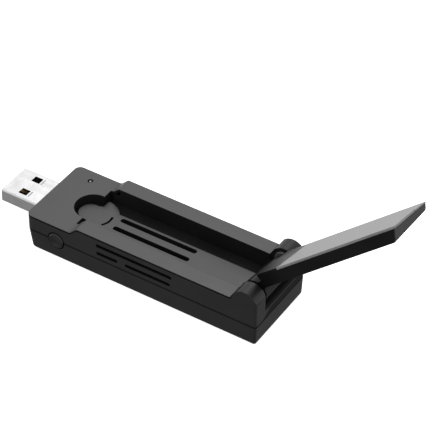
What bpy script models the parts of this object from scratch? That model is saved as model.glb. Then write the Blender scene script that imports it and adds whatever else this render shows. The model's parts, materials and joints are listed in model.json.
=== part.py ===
"""USB wireless network adapter with a fold-out antenna.

The case is a shallow tray, a ring of side walls with two hinge pillars, and a top cover with
a long recess that the antenna folds into. The plug sticks out of one end, and the antenna
turns on two hollow pivots at the other. A sprung pairing button sits in the front wall.

Stations are measured from the case's plug-end face, along X to the hinge end. The datum
empty moves them so that the origin lies at the middle of the case's underside.
"""
import math

import bmesh
import bpy
from mathutils import Matrix, Vector

MM = 0.001                  # every dimension below is in millimetres

# Case
CASE_LENGTH = 78.2
CASE_HALF_WIDTH = 13.2
WALL = 1.4
FIT_GAP = 0.3               # between pieces that touch on the real object
SEAM_Z = 6.6                # middle of the joint line round the case
CORNER_PLUG_END = 2.0
CORNER_HINGE_END = 0.8
TRAY_FLOOR = 1.4
TRAY_DRAFT_PLUG_END = 0.9
TRAY_DRAFT = 0.2
COVER_SKIN = 0.8
LOW_TOP_Z = 11.9            # top of the cover beside the plug
HIGH_TOP_Z = 14.3           # top of the two rails beside the antenna
RAMP_START_X = 15.5
RAMP_END_X = 18.0
COVER_END_X = 69.6
SIDE_VENTS = ((24.7, 50.3, 11.5), (24.8, 31.9, 8.7), (34.7, 49.8, 8.7))
SIDE_VENT_HEIGHT = 1.1

# Blank rating label, in a shallow recess underneath
LABEL_START_X = 6.0
LABEL_END_X = 36.0
LABEL_HALF_WIDTH = 9.0
LABEL_RECESS = 0.6

# Antenna hinge
HINGE_X = 74.2
HINGE_Z = 14.2
PILLAR_RADIUS = CASE_LENGTH - HINGE_X
OPEN_ANGLE = 137.5          # degrees that the antenna stands open from folded flat
POCKET_FLOOR_Z = 10.0

# Recess in the cover
RECESS_HALF_WIDTH = 8.2
RECESS_START_X = 14.8
RECESS_FLOOR_Z = 8.4
TROUGH_UNDERSIDE_Z = 7.3
TROUGH_WALL = 1.0
PLATEAU_Z = 9.4
PLATEAU_HALF_WIDTH = 3.7
FINGER_X = 14.5
FINGER_RADIUS = 5.5
DISC_X = 13.4
DISC_RADIUS = 3.5
HEAD_X = 15.6
HEAD_RADIUS = 6.8
NOTCH_Y = 4.0               # where the notches beside the plateau's head stop
NOTCH_END_X = 16.1          # the notches at the recess's plug end reach out past its sides
NOTCH_HALF_WIDTH = 8.75
GROOVE_X = 16.0
GROOVE_RADII = (4.2, 4.85)
SLOT_Y = 2.0
SLOT_WIDTH = 1.6
SLOT_START_X = 23.0
SLOT_END_X = 49.0

# USB plug, the standard shell of a full-size plug
PLUG_WIDTH = 12.0
PLUG_HEIGHT = 4.5
PLUG_SHEET = 0.3
PLUG_AXIS_Z = 7.2
PLUG_TIP_X = -14.4
PLUG_BACK_X = 4.4
LATCH_HOLE_X = (-9.3, -6.5)
LATCH_HOLE_Y = 3.2
LATCH_HOLE_WIDTH = 2.4
CONTACT_PITCHES = (-3.5, -1.0, 1.0, 3.5)
REAR_CONTACT_PITCHES = (-4.0, -2.25, 0.0, 2.25, 4.0)

# Circuit board
BOARD_TOP_Z = 4.6
BOARD_BOTTOM_Z = 3.6
BOARD_HALF_WIDTH = 10.0
PART_Z = BOARD_TOP_Z + FIT_GAP

# Pairing button in the front wall
BUTTON_X = 10.5
BUTTON_Z = 6.4
BUTTON_RADIUS = 2.6

# Status light in the cover
LED_X = 7.2
LED_Y = 9.1
LED_PIPE_RADIUS = 0.45

# Antenna, measured from the hinge axis while folded flat
ANTENNA_LENGTH = 59.0
ANTENNA_HALF_WIDTH = 7.3
ANTENNA_THICKNESS = 4.5     # along the front edge, where the blade is thickest
ANTENNA_BACK_THICKNESS = 2.5
TIP_SLANT = 3.0
ROOT_START = 4.4
NECK_DEPTH = 2.3
INNER_COVER_START = 12.5
INNER_COVER_THICKNESS = 0.7
THUMB_NOTCH_DEPTH = 0.45
THUMB_NOTCH_Y = (-3.8, 2.3)
BARREL_RADIUS = 3.7
BARREL_HALF_WIDTH = 7.15
PIVOT_RADIUS = 1.5
PIVOT_BORE = 1.8
LEAD_RADIUS = 0.45


def remove_old_objects():
    for obj in list(bpy.data.objects):
        bpy.data.objects.remove(obj, do_unlink=True)


def new_collection(name):
    collection = bpy.data.collections.new(name)
    bpy.context.scene.collection.children.link(collection)
    return collection


def new_empty(name, location, parent=None, turn_y=0.0):
    empty = bpy.data.objects.new(name, None)
    ADAPTER.objects.link(empty)
    empty.parent = parent
    empty.location = Vector(location) * MM
    empty.rotation_euler = (0.0, math.radians(turn_y), 0.0)
    return empty


def new_object(name, data, centre, parent, cutter=False):
    obj = bpy.data.objects.new(name, data)
    (CUTTERS if cutter else ADAPTER).objects.link(obj)
    obj.parent = parent
    obj.location = Vector(centre) * MM
    if cutter:
        obj.hide_render = True
        obj.display_type = "WIRE"
    return obj


def mesh_from(name, bm):
    mesh = bpy.data.meshes.new(name)
    bm.to_mesh(mesh)
    bm.free()
    return mesh


def block(name, low, high, parent, cutter=False):
    """A box between two corners."""
    size = [h - l for l, h in zip(low, high)]
    centre = [(h + l) / 2 for l, h in zip(low, high)]
    bm = bmesh.new()
    bmesh.ops.create_cube(bm, size=MM)
    bmesh.ops.scale(bm, vec=size, verts=bm.verts)
    return new_object(name, mesh_from(name, bm), centre, parent, cutter)


def turn_to(axis):
    """The turn that takes Z to the named axis, and an outline's Y to Z for X and Y."""
    if axis == "Y":
        return Matrix.Rotation(math.radians(90), 4, "X")
    if axis == "X":
        return Matrix.Rotation(math.radians(90), 4, "Z") @ Matrix.Rotation(math.radians(90), 4, "X")
    return Matrix.Identity(4)


def rod(name, centre, radius, length, axis, parent, cutter=False, segments=32):
    """A cylinder about its centre, along one axis."""
    bm = bmesh.new()
    bmesh.ops.create_cone(bm, cap_ends=True, segments=segments, radius1=radius * MM,
                          radius2=radius * MM, depth=length * MM, matrix=turn_to(axis))
    obj = new_object(name, mesh_from(name, bm), centre, parent, cutter)
    obj.data.shade_smooth()
    obj.data.set_sharp_from_angle(angle=math.radians(40))
    return obj


def plate(name, outline, low, high, axis, parent, cutter=False, centre=(0.0, 0.0, 0.0)):
    """A flat outline, extruded between two heights along an axis, as a welded mesh."""
    curve = bpy.data.curves.new(name, "CURVE")
    curve.dimensions = "2D"
    curve.fill_mode = "BOTH"
    curve.extrude = (high - low) / 2 * MM
    spline = curve.splines.new("POLY")
    spline.points.add(len(outline) - 1)
    for point, (a, b) in zip(spline.points, outline):
        point.co = (a * MM, b * MM, 0.0, 1.0)
    spline.use_cyclic_u = True
    guide = bpy.data.objects.new(name + "_outline", curve)
    CUTTERS.objects.link(guide)
    evaluated = guide.evaluated_get(bpy.context.evaluated_depsgraph_get())
    mesh = bpy.data.meshes.new_from_object(evaluated)
    bpy.data.objects.remove(guide, do_unlink=True)
    bm = bmesh.new()
    bm.from_mesh(mesh)
    bmesh.ops.remove_doubles(bm, verts=bm.verts, dist=0.001 * MM)
    middle = (high + low) / 2 * MM * (-1 if axis == "Y" else 1)
    bmesh.ops.translate(bm, vec=(0.0, 0.0, middle), verts=bm.verts)
    bmesh.ops.transform(bm, matrix=turn_to(axis), verts=bm.verts)
    bmesh.ops.recalc_face_normals(bm, faces=bm.faces)
    bm.to_mesh(mesh)
    bm.free()
    return new_object(name, mesh, centre, parent, cutter)


def turned(name, profile, centre, axis, parent, closed=False, steps=32):
    """A profile of (radius, height) points, turned about an axis with a Screw modifier."""
    bm = bmesh.new()
    points = [bm.verts.new((radius * MM, 0.0, height * MM)) for radius, height in profile]
    for first, second in zip(points, points[1:]):
        bm.edges.new((first, second))
    if closed:
        bm.edges.new((points[-1], points[0]))
    obj = new_object(name, mesh_from(name, bm), centre, parent)
    obj.rotation_euler = turn_to(axis).to_euler()
    screw = obj.modifiers.new("turn", "SCREW")
    screw.steps = steps
    screw.render_steps = steps
    screw.use_merge_vertices = True
    screw.merge_threshold = 0.00001
    return obj


def smooth_route(points, per_span=5):
    """Points on a Catmull-Rom curve through the given ones."""
    stations = [Vector(p) for p in points]
    padded = [2 * stations[0] - stations[1]] + stations + [2 * stations[-1] - stations[-2]]
    route = []
    for before, start, end, after in zip(padded, padded[1:], padded[2:], padded[3:]):
        for step in range(per_span):
            t = step / per_span
            route.append(0.5 * (2 * start + (end - before) * t
                                + (2 * before - 5 * start + 4 * end - after) * t * t
                                + (3 * start - before - 3 * end + after) * t ** 3))
    return route + [stations[-1]]


def wire(name, points, radius, parent):
    """A round lead along a smooth route."""
    route = smooth_route(points)
    curve = bpy.data.curves.new(name, "CURVE")
    curve.dimensions = "3D"
    curve.bevel_depth = radius * MM
    curve.bevel_resolution = 2
    curve.use_fill_caps = True
    spline = curve.splines.new("POLY")
    spline.points.add(len(route) - 1)
    for point, place in zip(spline.points, route):
        point.co = (*(place * MM), 1.0)
    return new_object(name, curve, (0.0, 0.0, 0.0), parent)


def join(obj, other, operation):
    boolean = obj.modifiers.new(operation.lower() + "_" + other.name, "BOOLEAN")
    boolean.solver = "EXACT"
    boolean.operation = operation
    boolean.object = other


def cut(obj, *cutters):
    for cutter in cutters:
        join(obj, cutter, "DIFFERENCE")


def add(obj, *others):
    for other in others:
        join(obj, other, "UNION")


def soften(obj, width, segments=1):
    bevel = obj.modifiers.new("soft_edges", "BEVEL")
    bevel.width = width * MM
    bevel.segments = segments
    bevel.limit_method = "ANGLE"
    bevel.angle_limit = math.radians(35)


def arc(centre, radius, start, end, steps):
    """Points on an arc, with the angles in degrees."""
    turns = [math.radians(start + (end - start) * i / steps) for i in range(steps + 1)]
    return [(centre[0] + radius * math.cos(t), centre[1] + radius * math.sin(t)) for t in turns]


def case_outline(low_x, high_x, half_width, low_radius, high_radius):
    """The case seen from above, with its own corner radius at each end."""
    ends = ((high_x, half_width, high_radius, 0), (low_x, half_width, low_radius, 90),
            (low_x, -half_width, low_radius, 180), (high_x, -half_width, high_radius, 270))
    corners = []
    for x, y, radius, start in ends:
        centre = (x - math.copysign(radius, x - low_x - 1), y - math.copysign(radius, y))
        corners += arc(centre, radius, start, start + 90, 4)
    return corners


def capsule(start_x, end_x, middle_y, width):
    """A slot with round ends along X."""
    radius = width / 2
    return (arc((end_x - radius, middle_y), radius, -90, 90, 6)
            + arc((start_x + radius, middle_y), radius, 90, 270, 6))


def material(name, colour, roughness, metallic=0.0):
    finish = bpy.data.materials.new(name)
    finish.use_nodes = True
    shader = finish.node_tree.nodes["Principled BSDF"]
    shader.inputs["Base Color"].default_value = (*colour, 1.0)
    shader.inputs["Roughness"].default_value = roughness
    shader.inputs["Metallic"].default_value = metallic
    return finish


def paint(obj, colour, roughness, metallic=0.0):
    obj.data.materials.append(material(obj.name, colour, roughness, metallic))
    return obj


BLACK = (0.018, 0.018, 0.019)
COVER_GREY = (0.045, 0.045, 0.047)
STEEL = (0.62, 0.62, 0.63)
GOLD = (0.83, 0.62, 0.25)
BOARD_GREEN = (0.02, 0.12, 0.06)
CHIP_BLACK = (0.012, 0.012, 0.013)


def make_bottom_shell(datum):
    outline = case_outline(0.0, CASE_LENGTH, CASE_HALF_WIDTH, CORNER_PLUG_END, CORNER_HINGE_END)
    rim_z = SEAM_Z - FIT_GAP / 2
    shell = plate("bottom_shell", outline, 0.0, rim_z, "Z", datum)
    for vertex in shell.data.vertices:
        if vertex.co.z < rim_z / 2 * MM:
            toward_plug = 1 - vertex.co.x / (CASE_LENGTH * MM)
            vertex.co.x += (TRAY_DRAFT_PLUG_END * toward_plug - TRAY_DRAFT * (1 - toward_plug)) * MM
            vertex.co.y *= 1 - TRAY_DRAFT / CASE_HALF_WIDTH
    soften(shell, 0.5, 2)
    hollow = case_outline(WALL, CASE_LENGTH - WALL, CASE_HALF_WIDTH - WALL, 1.0, 0.5)
    cut(shell,
        plate("tray_hollow", hollow, TRAY_FLOOR, 9.0, "Z", datum, cutter=True),
        plug_opening("tray_plug_opening", datum),
        button_opening("tray_button_opening", datum),
        plate("label_recess", label_outline(0.0), -1.0, LABEL_RECESS, "Z", datum, cutter=True))
    for number, (x, y) in enumerate(((14.0, 8.0), (14.0, -5.0), (60.0, 8.0), (60.0, -8.0)), 1):
        height = BOARD_BOTTOM_Z - FIT_GAP - TRAY_FLOOR + 0.5
        centre = (x, y, TRAY_FLOOR - 0.5 + height / 2)
        add(shell, rod(f"board_post_{number}", centre, 1.2, height, "Z", datum, cutter=True, segments=12))
    return paint(shell, BLACK, 0.5)


def plug_opening(name, datum):
    half_width = PLUG_WIDTH / 2 + FIT_GAP
    half_height = PLUG_HEIGHT / 2 + FIT_GAP
    return block(name, (-2.0, -half_width, PLUG_AXIS_Z - half_height),
                 (WALL + 2.0, half_width, PLUG_AXIS_Z + half_height), datum, cutter=True)


def button_opening(name, datum):
    centre = (BUTTON_X, -CASE_HALF_WIDTH, BUTTON_Z)
    return rod(name, centre, BUTTON_RADIUS + FIT_GAP, 4.0, "Y", datum, cutter=True)


def make_upper_housing(datum):
    bottom = SEAM_Z + FIT_GAP / 2
    low_top = LOW_TOP_Z - COVER_SKIN - FIT_GAP
    high_top = HIGH_TOP_Z - COVER_SKIN - FIT_GAP
    front_x = COVER_END_X + FIT_GAP
    dome = arc((HINGE_X, HINGE_Z), PILLAR_RADIUS, 145, 0, 14)
    profile = [(0.0, bottom), (0.0, low_top), (RAMP_START_X, low_top), (RAMP_END_X, high_top),
               (front_x, high_top), (front_x, HIGH_TOP_Z)] + dome + [(CASE_LENGTH, bottom)]
    housing = plate("upper_housing", profile, -CASE_HALF_WIDTH, CASE_HALF_WIDTH, "Y", datum)
    outline = case_outline(0.0, CASE_LENGTH, CASE_HALF_WIDTH, CORNER_PLUG_END, CORNER_HINGE_END)
    join(housing, plate("housing_plan", outline, 5.0, 20.0, "Z", datum, cutter=True), "INTERSECT")
    inner = CASE_HALF_WIDTH - WALL
    hollow = case_outline(WALL, front_x, inner, 1.0, 0.5)
    under_floor_z = POCKET_FLOOR_Z - 1.3
    cut(housing,
        plate("housing_hollow", hollow, 5.0, 20.0, "Z", datum, cutter=True),
        block("hollow_under_pocket", (60.0, -inner, 5.0), (CASE_LENGTH - WALL, inner, under_floor_z),
              datum, cutter=True),
        block("hinge_pocket", (60.0, -RECESS_HALF_WIDTH, POCKET_FLOOR_Z),
              (CASE_LENGTH + 2.0, RECESS_HALF_WIDTH, 20.0), datum, cutter=True),
        plug_opening("housing_plug_opening", datum),
        button_opening("housing_button_opening", datum))
    for side, label in ((1, "left"), (-1, "right")):
        low_y, high_y = sorted((side * 9.5, side * 12.0))
        cut(housing,
            block(f"pillar_hollow_{label}", (71.2, low_y, 5.0), (76.9, high_y, 16.4), datum, cutter=True),
            rod(f"pillar_bore_{label}", (HINGE_X, side * 9.0, HINGE_Z), PIVOT_BORE, 2.4, "Y", datum,
                cutter=True, segments=24))
        low_y, high_y = sorted((side * (inner - 1.0), side * (CASE_HALF_WIDTH + 1.0)))
        for number, (start_x, end_x, z) in enumerate(SIDE_VENTS, 1):
            cut(housing, block(f"side_vent_{label}_{number}", (start_x, low_y, z - SIDE_VENT_HEIGHT / 2),
                               (end_x, high_y, z + SIDE_VENT_HEIGHT / 2), datum, cutter=True))
    return paint(housing, BLACK, 0.45)


def make_top_cover(datum):
    low_under = LOW_TOP_Z - COVER_SKIN
    high_under = HIGH_TOP_Z - COVER_SKIN
    profile = [(0.0, low_under), (0.0, LOW_TOP_Z), (RAMP_START_X, LOW_TOP_Z), (RAMP_END_X, HIGH_TOP_Z),
               (COVER_END_X, HIGH_TOP_Z), (COVER_END_X, high_under), (RAMP_END_X + 0.3, high_under),
               (RAMP_START_X + 0.3, low_under)]
    cover = plate("top_cover", profile, -CASE_HALF_WIDTH, CASE_HALF_WIDTH, "Y", datum)
    outline = case_outline(0.0, 80.0, CASE_HALF_WIDTH, CORNER_PLUG_END, CORNER_HINGE_END)
    join(cover, plate("cover_plan", outline, 5.0, 20.0, "Z", datum, cutter=True), "INTERSECT")
    outer = RECESS_HALF_WIDTH + TROUGH_WALL
    low_join = LOW_TOP_Z - COVER_SKIN / 2
    high_join = HIGH_TOP_Z - COVER_SKIN / 2
    add(cover,
        block("trough", (RECESS_START_X - TROUGH_WALL, -outer, TROUGH_UNDERSIDE_Z),
              (COVER_END_X, outer, low_join), datum, cutter=True),
        block("trough_upper", (RAMP_END_X + 0.5, -outer, low_join - 0.7), (COVER_END_X, outer, high_join),
              datum, cutter=True),
        rod("finger_cup", (FINGER_X, 0.0, (TROUGH_UNDERSIDE_Z + low_join) / 2), FINGER_RADIUS + TROUGH_WALL,
            low_join - TROUGH_UNDERSIDE_Z, "Z", datum, cutter=True, segments=48))
    head = math.degrees(math.asin(PLATEAU_HALF_WIDTH / HEAD_RADIUS))
    plateau_end = COVER_END_X - 0.3
    step = HEAD_X - 0.3
    keyhole = ([(plateau_end, -PLATEAU_HALF_WIDTH), (plateau_end, PLATEAU_HALF_WIDTH)]
               + arc((HEAD_X, 0.0), HEAD_RADIUS, head, 88, 8)
               + [(step, HEAD_RADIUS - 0.05), (step, NOTCH_Y)]
               + arc((DISC_X, 0.0), DISC_RADIUS, 80, 280, 18)
               + [(step, -NOTCH_Y), (step, 0.05 - HEAD_RADIUS)]
               + arc((HEAD_X, 0.0), HEAD_RADIUS, -88, -head, 8))
    cut(cover,
        block("recess", (RECESS_START_X, -RECESS_HALF_WIDTH, RECESS_FLOOR_Z),
              (80.0, RECESS_HALF_WIDTH, 20.0), datum, cutter=True),
        block("end_notches", (RECESS_START_X, -NOTCH_HALF_WIDTH, RECESS_FLOOR_Z),
              (NOTCH_END_X, NOTCH_HALF_WIDTH, 20.0), datum, cutter=True),
        rod("finger_pocket", (FINGER_X, 0.0, RECESS_FLOOR_Z + 6.0), FINGER_RADIUS, 12.0, "Z", datum,
            cutter=True, segments=48))
    add(cover, plate("plateau", keyhole, RECESS_FLOOR_Z - 0.4, PLATEAU_Z, "Z", datum, cutter=True))
    for label, y in (("left", SLOT_Y), ("right", -SLOT_Y)):
        cut(cover, plate(f"top_vent_{label}", capsule(SLOT_START_X, SLOT_END_X, y, SLOT_WIDTH),
                         5.0, 12.0, "Z", datum, cutter=True))
    turn = (GROOVE_X, 0.0)
    groove = arc(turn, GROOVE_RADII[1], -40, 20, 8) + arc(turn, GROOVE_RADII[0], 20, -40, 8)
    cut(cover,
        plate("disc_groove", groove, PLATEAU_Z - 0.8, 12.0, "Z", datum, cutter=True),
        rod("led_hole", (LED_X, LED_Y, LOW_TOP_Z), LED_PIPE_RADIUS + 0.25, 4.0, "Z", datum,
            cutter=True, segments=20))
    return paint(cover, COVER_GREY, 0.4)


def label_outline(inset):
    radius = 1.5 - inset
    return case_outline(LABEL_START_X + inset, LABEL_END_X - inset, LABEL_HALF_WIDTH - inset, radius, radius)


def make_rating_label(datum):
    label = plate("rating_label", label_outline(FIT_GAP), 0.1, LABEL_RECESS - FIT_GAP, "Z", datum)
    return paint(label, (0.55, 0.55, 0.55), 0.6)


def make_usb_plug(datum):
    half_width = PLUG_WIDTH / 2
    half_height = PLUG_HEIGHT / 2
    shell = block("usb_plug_shell", (PLUG_TIP_X, -half_width, PLUG_AXIS_Z - half_height),
                  (PLUG_BACK_X, half_width, PLUG_AXIS_Z + half_height), datum)
    soften(shell, 0.4, 2)
    inner_width = half_width - PLUG_SHEET
    inner_height = half_height - PLUG_SHEET
    cut(shell, block("plug_mouth", (PLUG_TIP_X - 2.0, -inner_width, PLUG_AXIS_Z - inner_height),
                     (PLUG_BACK_X + 2.0, inner_width, PLUG_AXIS_Z + inner_height), datum, cutter=True))
    for label, y in (("left", LATCH_HOLE_Y), ("right", -LATCH_HOLE_Y)):
        cut(shell, block(f"latch_hole_{label}", (LATCH_HOLE_X[0], y - LATCH_HOLE_WIDTH / 2, 0.0),
                         (LATCH_HOLE_X[1], y + LATCH_HOLE_WIDTH / 2, 14.0), datum, cutter=True))
    paint(shell, STEEL, 0.25, 1.0)

    tongue_top = PLUG_AXIS_Z + 0.1
    tongue = block("usb_tongue", (PLUG_TIP_X + 0.5, -5.4, PLUG_AXIS_Z - inner_height + FIT_GAP),
                   (3.9, 5.4, tongue_top), datum)
    contact_z = tongue_top - 0.5
    for number, y in enumerate(CONTACT_PITCHES, 1):
        cut(tongue, block(f"contact_channel_{number}", (-13.3, y - 0.8, tongue_top - 0.8),
                          (6.0, y + 0.8, tongue_top + 1.0), datum, cutter=True))
        strip = [(-13.0, contact_z), (-13.0, contact_z + 0.3), (4.7, contact_z + 0.3),
                 (4.7, PART_Z), (4.4, PART_Z), (4.4, contact_z)]
        contact = plate(f"plug_contact_{number}", strip, y - 0.5, y + 0.5, "Y", datum)
        paint(contact, GOLD, 0.25, 1.0)
    for number, y in enumerate(REAR_CONTACT_PITCHES, 1):
        base_z = tongue_top + FIT_GAP
        hump = [(-6.2, base_z), (-5.6, base_z + 0.6), (-5.0, base_z + 0.3), (5.5, base_z + 0.3),
                (5.5, PART_Z), (5.2, PART_Z), (5.2, base_z)]
        contact = plate(f"fast_contact_{number}", hump, y - 0.25, y + 0.25, "Y", datum)
        paint(contact, GOLD, 0.25, 1.0)
    paint(tongue, CHIP_BLACK, 0.45)


def open_box(name, low, high, parent):
    """A pressed sheet-metal can, open underneath."""
    can = block(name, low, high, parent)
    bm = bmesh.new()
    bm.from_mesh(can.data)
    underside = min(bm.faces, key=lambda face: face.calc_center_median().z)
    bmesh.ops.delete(bm, geom=[underside], context="FACES_ONLY")
    bm.to_mesh(can.data)
    bm.free()
    sheet = can.modifiers.new("sheet", "SOLIDIFY")
    sheet.thickness = 0.3 * MM
    sheet.offset = -1.0
    sheet.use_even_offset = True
    return can


def make_electronics(datum):
    board = block("main_board", (6.2, -BOARD_HALF_WIDTH, BOARD_BOTTOM_Z),
                  (69.0, BOARD_HALF_WIDTH, BOARD_TOP_Z), datum)
    add(board, block("board_nose", (2.0, -7.0, BOARD_BOTTOM_Z), (8.0, BOARD_HALF_WIDTH, BOARD_TOP_Z),
                     datum, cutter=True))
    paint(board, BOARD_GREEN, 0.45)
    paint(open_box("radio_shield", (24.0, -8.0, PART_Z), (44.0, 8.0, 6.2), datum), STEEL, 0.3, 1.0)
    paint(open_box("amplifier_shield", (47.0, -8.0, PART_Z), (63.0, 8.0, 6.2), datum), STEEL, 0.3, 1.0)
    chips = (("radio_chip", 34.0, 0.0, 10.0, 10.0, 0.7), ("memory_chip", 18.5, -4.5, 5.0, 6.0, 1.2),
             ("crystal", 18.5, 4.5, 3.2, 2.5, 0.8), ("power_inductor", 12.5, 4.0, 4.0, 4.0, 1.8),
             ("status_led", LED_X, LED_Y, 1.6, 0.8, 0.6))
    for name, x, y, length, width, height in chips:
        chip = block(name, (x - length / 2, y - width / 2, PART_Z),
                     (x + length / 2, y + width / 2, PART_Z + height), datum)
        paint(chip, CHIP_BLACK, 0.4)
    for number, y in enumerate((-4.5, 0.0, 4.5), 1):
        chip = block(f"amplifier_chip_{number}", (53.5, y - 1.5, PART_Z), (56.5, y + 1.5, PART_Z + 0.7),
                     datum)
        paint(chip, CHIP_BLACK, 0.4)
    paint(block("thermal_pad", (26.0, -6.0, 6.45), (42.0, 6.0, 7.05), datum), (0.25, 0.3, 0.42), 0.8)
    pipe_low = PART_Z + 0.9
    pipe = [(0.0, LOW_TOP_Z), (LED_PIPE_RADIUS, LOW_TOP_Z), (LED_PIPE_RADIUS, pipe_low + 1.0),
            (1.1, pipe_low + 1.0), (1.1, pipe_low), (0.0, pipe_low)]
    paint(turned("led_light_pipe", pipe, (LED_X, LED_Y, 0.0), "Z", datum, steps=20), (0.5, 0.52, 0.55), 0.2)


def make_pairing_button(datum):
    """The button slides along Y. Its axis is the empty's, and +Z of the profile is outwards."""
    slide = new_empty("button_slide", (BUTTON_X, -CASE_HALF_WIDTH, BUTTON_Z), datum)
    cap = [(0.0, 0.3), (BUTTON_RADIUS - 0.3, 0.3), (BUTTON_RADIUS, 0.0), (BUTTON_RADIUS, -1.7),
           (3.3, -1.7), (3.3, -2.3), (1.0, -2.3), (1.0, -2.9), (0.0, -2.9)]
    paint(turned("pairing_button", cap, (0.0, 0.0, 0.0), "Y", slide), BLACK, 0.35)
    plunger = [(0.0, -3.2), (0.8, -3.2), (0.8, -4.6), (0.0, -4.6)]
    paint(turned("switch_plunger", plunger, (0.0, 0.0, 0.0), "Y", slide, steps=16), (0.5, 0.5, 0.48), 0.5)
    front_y = -CASE_HALF_WIDTH + 3.5
    switch = block("tact_switch", (BUTTON_X - 2.2, front_y, PART_Z),
                   (BUTTON_X + 2.2, front_y + 2.9, 7.9), datum)
    cut(switch, rod("plunger_bore", (BUTTON_X, front_y, BUTTON_Z), 1.1, 4.2, "Y", datum,
                    cutter=True, segments=16))
    paint(switch, CHIP_BLACK, 0.5)


def make_hinge_hardware(datum):
    for side, label in ((1, "left"), (-1, "right")):
        sleeve = [(PIVOT_RADIUS, 1.9), (PIVOT_RADIUS, -1.9), (0.8, -1.9), (0.8, 1.9)]
        paint(turned(f"pivot_sleeve_{label}", sleeve, (HINGE_X, side * 7.3, HINGE_Z), "Y", datum,
                     closed=True, steps=20), STEEL, 0.25, 1.0)
        washer = [(2.9, 0.15), (2.9, -0.15), (PIVOT_BORE, -0.15), (PIVOT_BORE, 0.15)]
        paint(turned(f"friction_washer_{label}", washer, (HINGE_X, side * 7.75, HINGE_Z), "Y", datum,
                     closed=True, steps=20), STEEL, 0.35, 1.0)
        socket = rod(f"aerial_socket_{label}", (66.5, side * 8.3, PART_Z + 0.6), 1.3, 1.2, "Z", datum,
                     segments=16)
        paint(socket, GOLD, 0.3, 1.0)
        route = [(66.5, side * 8.3, 6.6), (68.5, side * 9.3, 6.8), (71.5, side * 10.5, 7.0),
                 (73.8, side * 10.75, 8.8), (74.2, side * 10.75, 11.8), (HINGE_X, side * 10.1, 13.8),
                 (HINGE_X, side * 8.6, HINGE_Z), (HINGE_X, side * 5.2, HINGE_Z)]
        paint(wire(f"aerial_lead_{label}", route, LEAD_RADIUS, datum), BLACK, 0.5)


def slope_blade(blade):
    """Tilts the blade's inner face, so that it is thinner at the back, and its tip facet with it."""
    lost = 1 - ANTENNA_BACK_THICKNESS / ANTENNA_THICKNESS
    half_length = ANTENNA_LENGTH / 2 * MM
    for vertex in blade.data.vertices:
        toward_back = (vertex.co.y / MM + ANTENNA_HALF_WIDTH) / (2 * ANTENNA_HALF_WIDTH)
        if vertex.co.z < -(NECK_DEPTH + 0.1) * MM:
            raised = -vertex.co.z * lost * toward_back
            vertex.co.z += raised
            if vertex.co.x < -half_length:
                vertex.co.x += raised * TIP_SLANT / ANTENNA_THICKNESS
        if vertex.co.x < -half_length:
            vertex.co.x -= TIP_SLANT * lost * toward_back * MM
    return blade


def make_antenna(hinge):
    """Modelled folded flat about the hinge empty: the tip lies towards -X."""
    slope = TIP_SLANT / ANTENNA_THICKNESS
    seam = -(ANTENNA_THICKNESS - INNER_COVER_THICKNESS - FIT_GAP)
    cover_top = -(ANTENNA_THICKNESS - INNER_COVER_THICKNESS)
    outer_tip = -(ANTENNA_LENGTH - TIP_SLANT)
    block_end = -(INNER_COVER_START - FIT_GAP)
    profile = [(0.7, 0.0), (outer_tip, 0.0), (outer_tip + slope * seam, seam), (block_end, seam),
               (block_end, -ANTENNA_THICKNESS), (-ROOT_START, -ANTENNA_THICKNESS), (-ROOT_START, -NECK_DEPTH),
               (0.7, -NECK_DEPTH)]
    shell = slope_blade(plate("antenna_shell", profile, -ANTENNA_HALF_WIDTH, ANTENNA_HALF_WIDTH, "Y", hinge))
    add(shell, rod("barrel", (0.0, 0.0, 0.0), BARREL_RADIUS, 2 * BARREL_HALF_WIDTH, "Y", hinge, cutter=True))
    cut(shell,
        block("antenna_hollow", (-56.0, -6.3, -9.0), (-14.5, 6.3, -1.0), hinge, cutter=True),
        rod("barrel_bore", (0.0, 0.0, 0.0), PIVOT_BORE, 20.0, "Y", hinge, cutter=True, segments=24),
        block("lead_channel", (-16.2, -4.0, -1.98), (-0.3, 4.0, -0.42), hinge, cutter=True))
    paint(shell, BLACK, 0.3)

    inner = [(-INNER_COVER_START, cover_top), (outer_tip + slope * cover_top, cover_top),
             (-ANTENNA_LENGTH, -ANTENNA_THICKNESS), (-INNER_COVER_START, -ANTENNA_THICKNESS)]
    cover = slope_blade(plate("antenna_cover", inner, -ANTENNA_HALF_WIDTH, ANTENNA_HALF_WIDTH, "Y", hinge))
    cut(cover, block("thumb_notch", (-70.0, THUMB_NOTCH_Y[0], -9.0),
                     (THUMB_NOTCH_DEPTH - ANTENNA_LENGTH, THUMB_NOTCH_Y[1], 0.0), hinge, cutter=True))
    paint(cover, (0.05, 0.05, 0.052), 0.25)
    paint(block("antenna_board", (-55.0, -5.9, -2.1), (-16.5, 3.0, -1.4), hinge), BOARD_GREEN, 0.45)
    for side, label in ((1, "left"), (-1, "right")):
        route = [(0.0, side * 4.9, 0.0), (0.0, side * 3.8, 0.0), (-0.6, side * 2.9, -0.6),
                 (-2.4, side * 2.6, -1.2), (-7.0, side * 2.6, -1.2), (-15.9, side * 2.6, -1.2)]
        paint(wire(f"antenna_lead_{label}", route, LEAD_RADIUS, hinge), BLACK, 0.5)


remove_old_objects()
ADAPTER = new_collection("usb_wifi_adapter")
CUTTERS = new_collection("cutters")
case_datum = new_empty("case_datum", (-CASE_LENGTH / 2, 0.0, 0.0))
hinge_axis = new_empty("antenna_hinge", (HINGE_X, 0.0, HINGE_Z), case_datum, turn_y=OPEN_ANGLE)
make_bottom_shell(case_datum)
make_upper_housing(case_datum)
make_top_cover(case_datum)
make_rating_label(case_datum)
make_usb_plug(case_datum)
make_electronics(case_datum)
make_pairing_button(case_datum)
make_hinge_hardware(case_datum)
make_antenna(hinge_axis)
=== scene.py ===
import json
import math

import bmesh
import bpy
from mathutils import Matrix, Vector


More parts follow.
